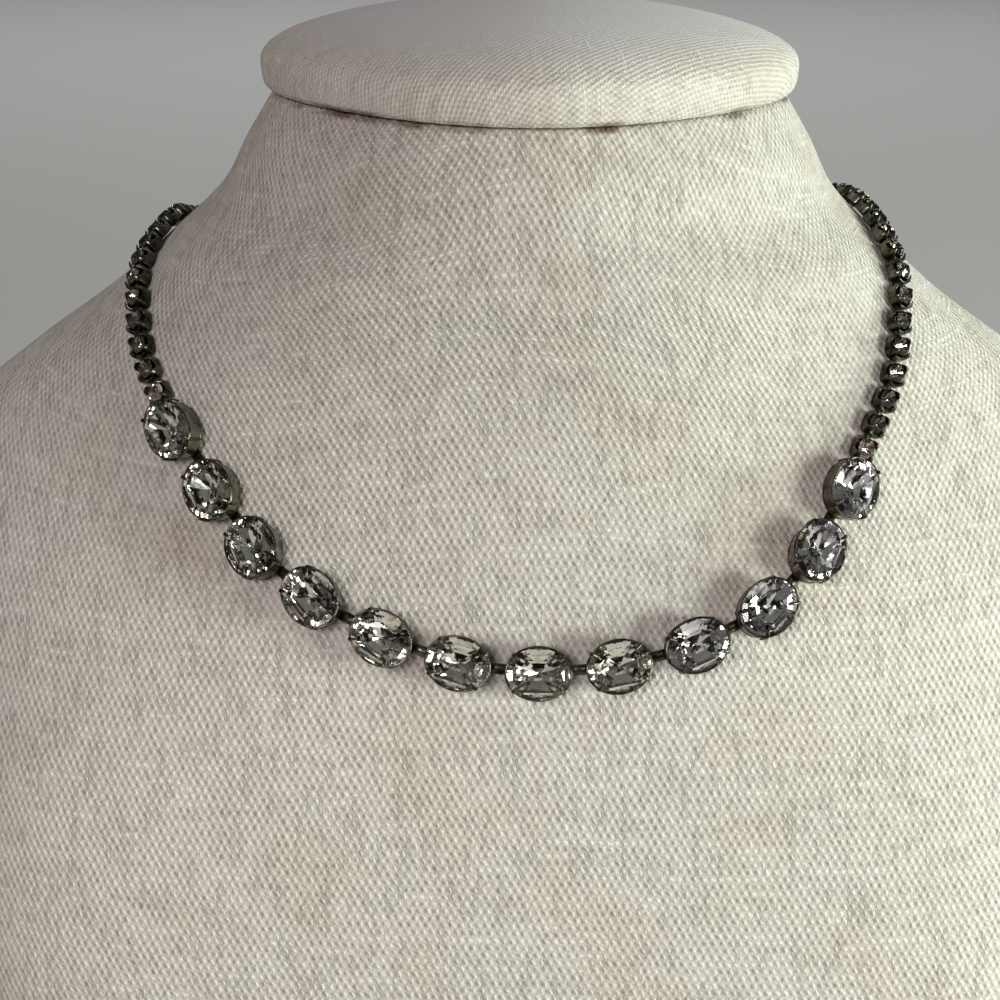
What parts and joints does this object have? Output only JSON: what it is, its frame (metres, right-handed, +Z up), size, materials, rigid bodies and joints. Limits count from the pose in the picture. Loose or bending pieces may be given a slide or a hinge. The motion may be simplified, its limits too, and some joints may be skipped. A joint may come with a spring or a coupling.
{
  "type": "rhinestone necklace on linen neck bust",
  "caption": "Vintage necklace of oval faceted glass stones in prong settings with a cup chain to a back clasp, worn on a padded linen neck display bust.",
  "frame": {"origin": "centre of the bust's base outline, on the surface that it stands on", "axes": "+Z up, -Y out of the front of the chest, +X to the viewer's right"},
  "size_m": [0.24, 0.134, 0.2451],
  "materials": {
    "linen": "natural slubby linen, plain weave",
    "cap_linen": "natural linen stretched over padding",
    "old_metal": "aged white-metal plating, darkened and tarnished",
    "foiled_glass": "polished facets over a silver foil back"
  },
  "bodies": {
    "root": {"neck_bust": "linen", "neck_cap": "cap_linen", "setting_01": "old_metal", "setting_02": "old_metal", "setting_03": "old_metal", "setting_04": "old_metal", "setting_05": "old_metal", "setting_06": "old_metal", "setting_07": "old_metal", "setting_08": "old_metal", "setting_09": "old_metal", "setting_10": "old_metal", "setting_11": "old_metal", "setting_12": "old_metal", "stone_01": "foiled_glass", "stone_02": "foiled_glass", "stone_03": "foiled_glass", "stone_04": "foiled_glass", "stone_05": "foiled_glass", "stone_06": "foiled_glass", "stone_07": "foiled_glass", "stone_08": "foiled_glass", "stone_09": "foiled_glass", "stone_10": "foiled_glass", "stone_11": "foiled_glass", "stone_12": "foiled_glass", "link_01": "old_metal", "link_02": "old_metal", "link_03": "old_metal", "link_04": "old_metal", "link_05": "old_metal", "link_06": "old_metal", "link_07": "old_metal", "link_08": "old_metal", "link_09": "old_metal", "link_10": "old_metal", "link_11": "old_metal", "cup_chain_left": "old_metal", "chain_stones_left": "foiled_glass", "cup_chain_right": "old_metal", "chain_stones_right": "foiled_glass", "clasp": "old_metal"}
  },
  "joints": []
}
